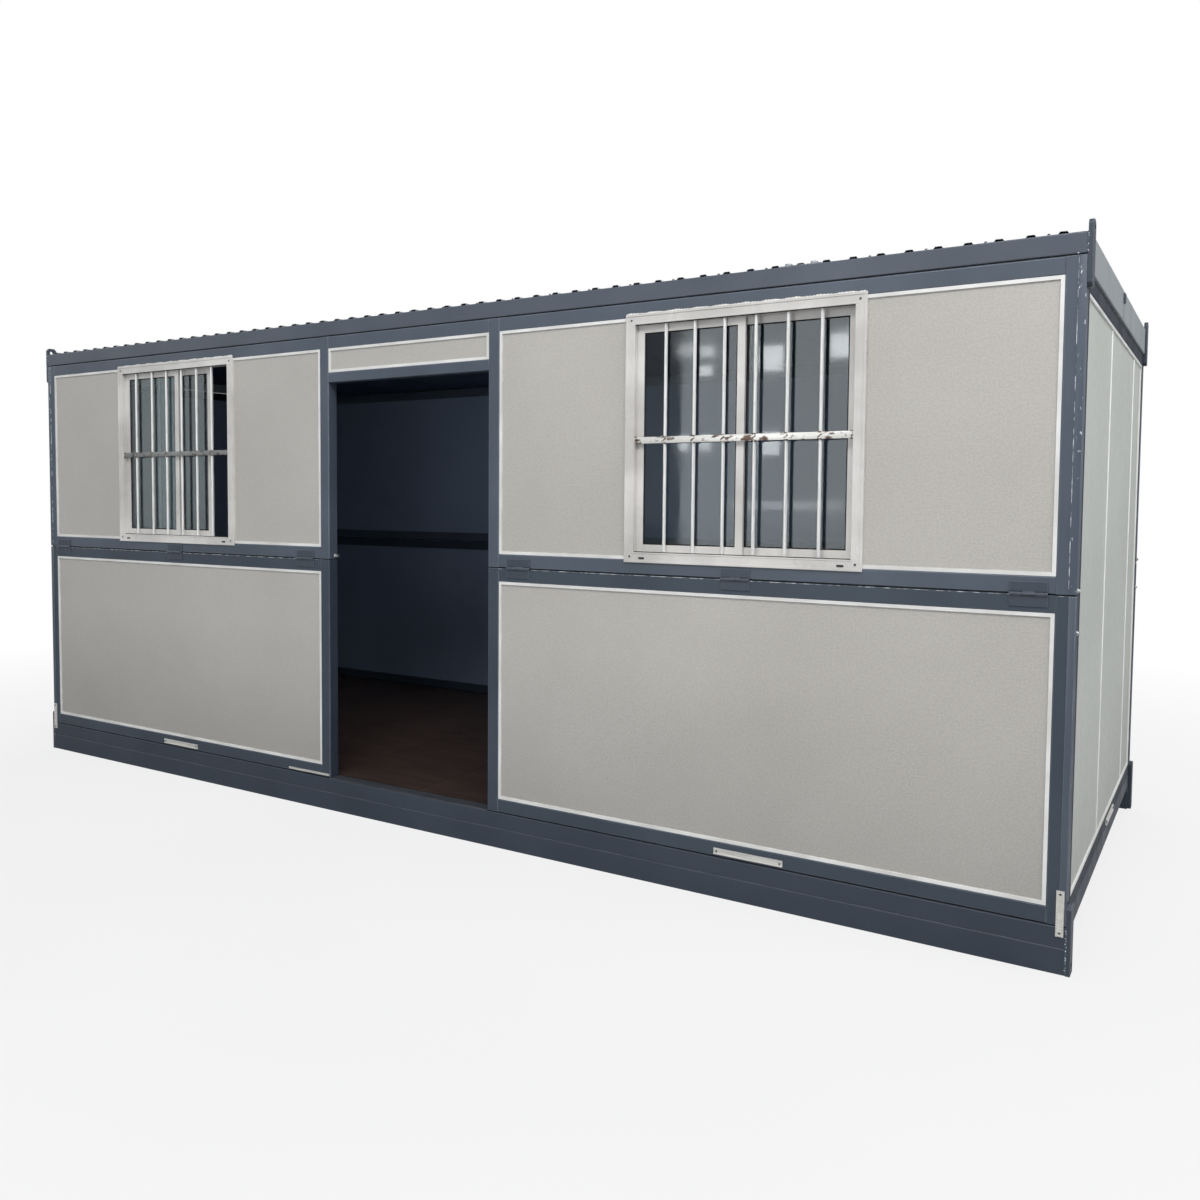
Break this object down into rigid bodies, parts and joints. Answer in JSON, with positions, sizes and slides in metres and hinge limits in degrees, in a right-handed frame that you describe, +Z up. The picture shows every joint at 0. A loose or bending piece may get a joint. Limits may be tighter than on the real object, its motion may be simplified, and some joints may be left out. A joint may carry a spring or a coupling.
{
  "type": "foldable container house",
  "caption": "Flat-pack steel cabin: long walls hinged at mid height, end walls that swing up, open doorway, barred sliding windows.",
  "frame": {"origin": "middle of the footprint, at ground level", "axes": "+X along the house to the end wall shown in the picture, -Y out of the doorway, +Z up"},
  "size_m": [5.882, 2.454, 2.53],
  "materials": {
    "frame_paint": "satin dark blue-grey paint on steel tube",
    "end_beam_paint": "satin mid grey paint on folded steel",
    "wall_panel": "stucco-embossed steel sheet, warm light grey",
    "end_panel": "satin steel sheet with fine upright lines, light grey",
    "white_bead": "white powder coat",
    "window_white": "white powder coat",
    "window_glass": "clear float glass",
    "bare_aluminium": "mill finish",
    "hinge_paint": "satin dark blue-grey paint over steel",
    "seal_rubber": "matt black",
    "roof_steel": "galvanised sheet",
    "floor_board": "dark sealed board",
    "joist_paint": "matt primer",
    "ceiling_sheet": "satin painted sheet"
  },
  "bodies": {
    "root": {"back_beads": "white_bead", "back_hinge_lower_leaves": "hinge_paint", "back_hinge_upper_leaves": "hinge_paint", "back_lower_frame": "frame_paint", "back_lower_panels": "wall_panel", "back_upper_frame": "frame_paint", "back_upper_panels": "wall_panel", "base_corner_lugs": "frame_paint", "base_end_beams": "frame_paint", "base_long_beams": "frame_paint", "ceiling_board": "ceiling_sheet", "door_head_rails": "frame_paint", "door_sill": "bare_aluminium", "floor_board": "floor_board", "floor_joists": "joist_paint", "front_beads": "white_bead", "front_hinge_lower_leaves": "hinge_paint", "front_hinge_upper_leaves": "hinge_paint", "front_lock_bars": "bare_aluminium", "front_lower_frames": "frame_paint", "front_lower_panels": "wall_panel", "front_upper_frames": "frame_paint", "front_upper_panels": "wall_panel", "roof_corner_lugs": "frame_paint", "roof_end_beams": "end_beam_paint", "roof_hinge_leaves": "hinge_paint", "roof_long_beams": "frame_paint", "roof_purlins": "joist_paint", "roof_sheet": "roof_steel", "transom_panel": "wall_panel", "wall_seals": "seal_rubber", "window_frames": "window_white", "window_glass": "window_glass", "window_sashes": "window_white"},
    "right_end_wall": {"right_end_frame": "frame_paint", "right_end_panels": "end_panel", "right_end_bead": "white_bead", "right_end_hinge_leaves": "hinge_paint", "right_end_lock_bar": "bare_aluminium"},
    "left_end_wall": {"left_end_frame": "frame_paint", "left_end_panels": "end_panel", "left_end_bead": "white_bead", "left_end_hinge_leaves": "hinge_paint", "left_end_lock_bar": "bare_aluminium"}
  },
  "joints": [
    {"name": "right_end_wall_swing", "type": "hinge", "parent": "root", "child": "right_end_wall", "pos_m": [2.85795, 0, 2.362], "axis": [0, 1, 0], "range_deg": [0, 90]},
    {"name": "left_end_wall_swing", "type": "hinge", "parent": "root", "child": "left_end_wall", "pos_m": [-2.85795, 0, 2.362], "axis": [0, -1, 0], "range_deg": [0, 90]}
  ]
}
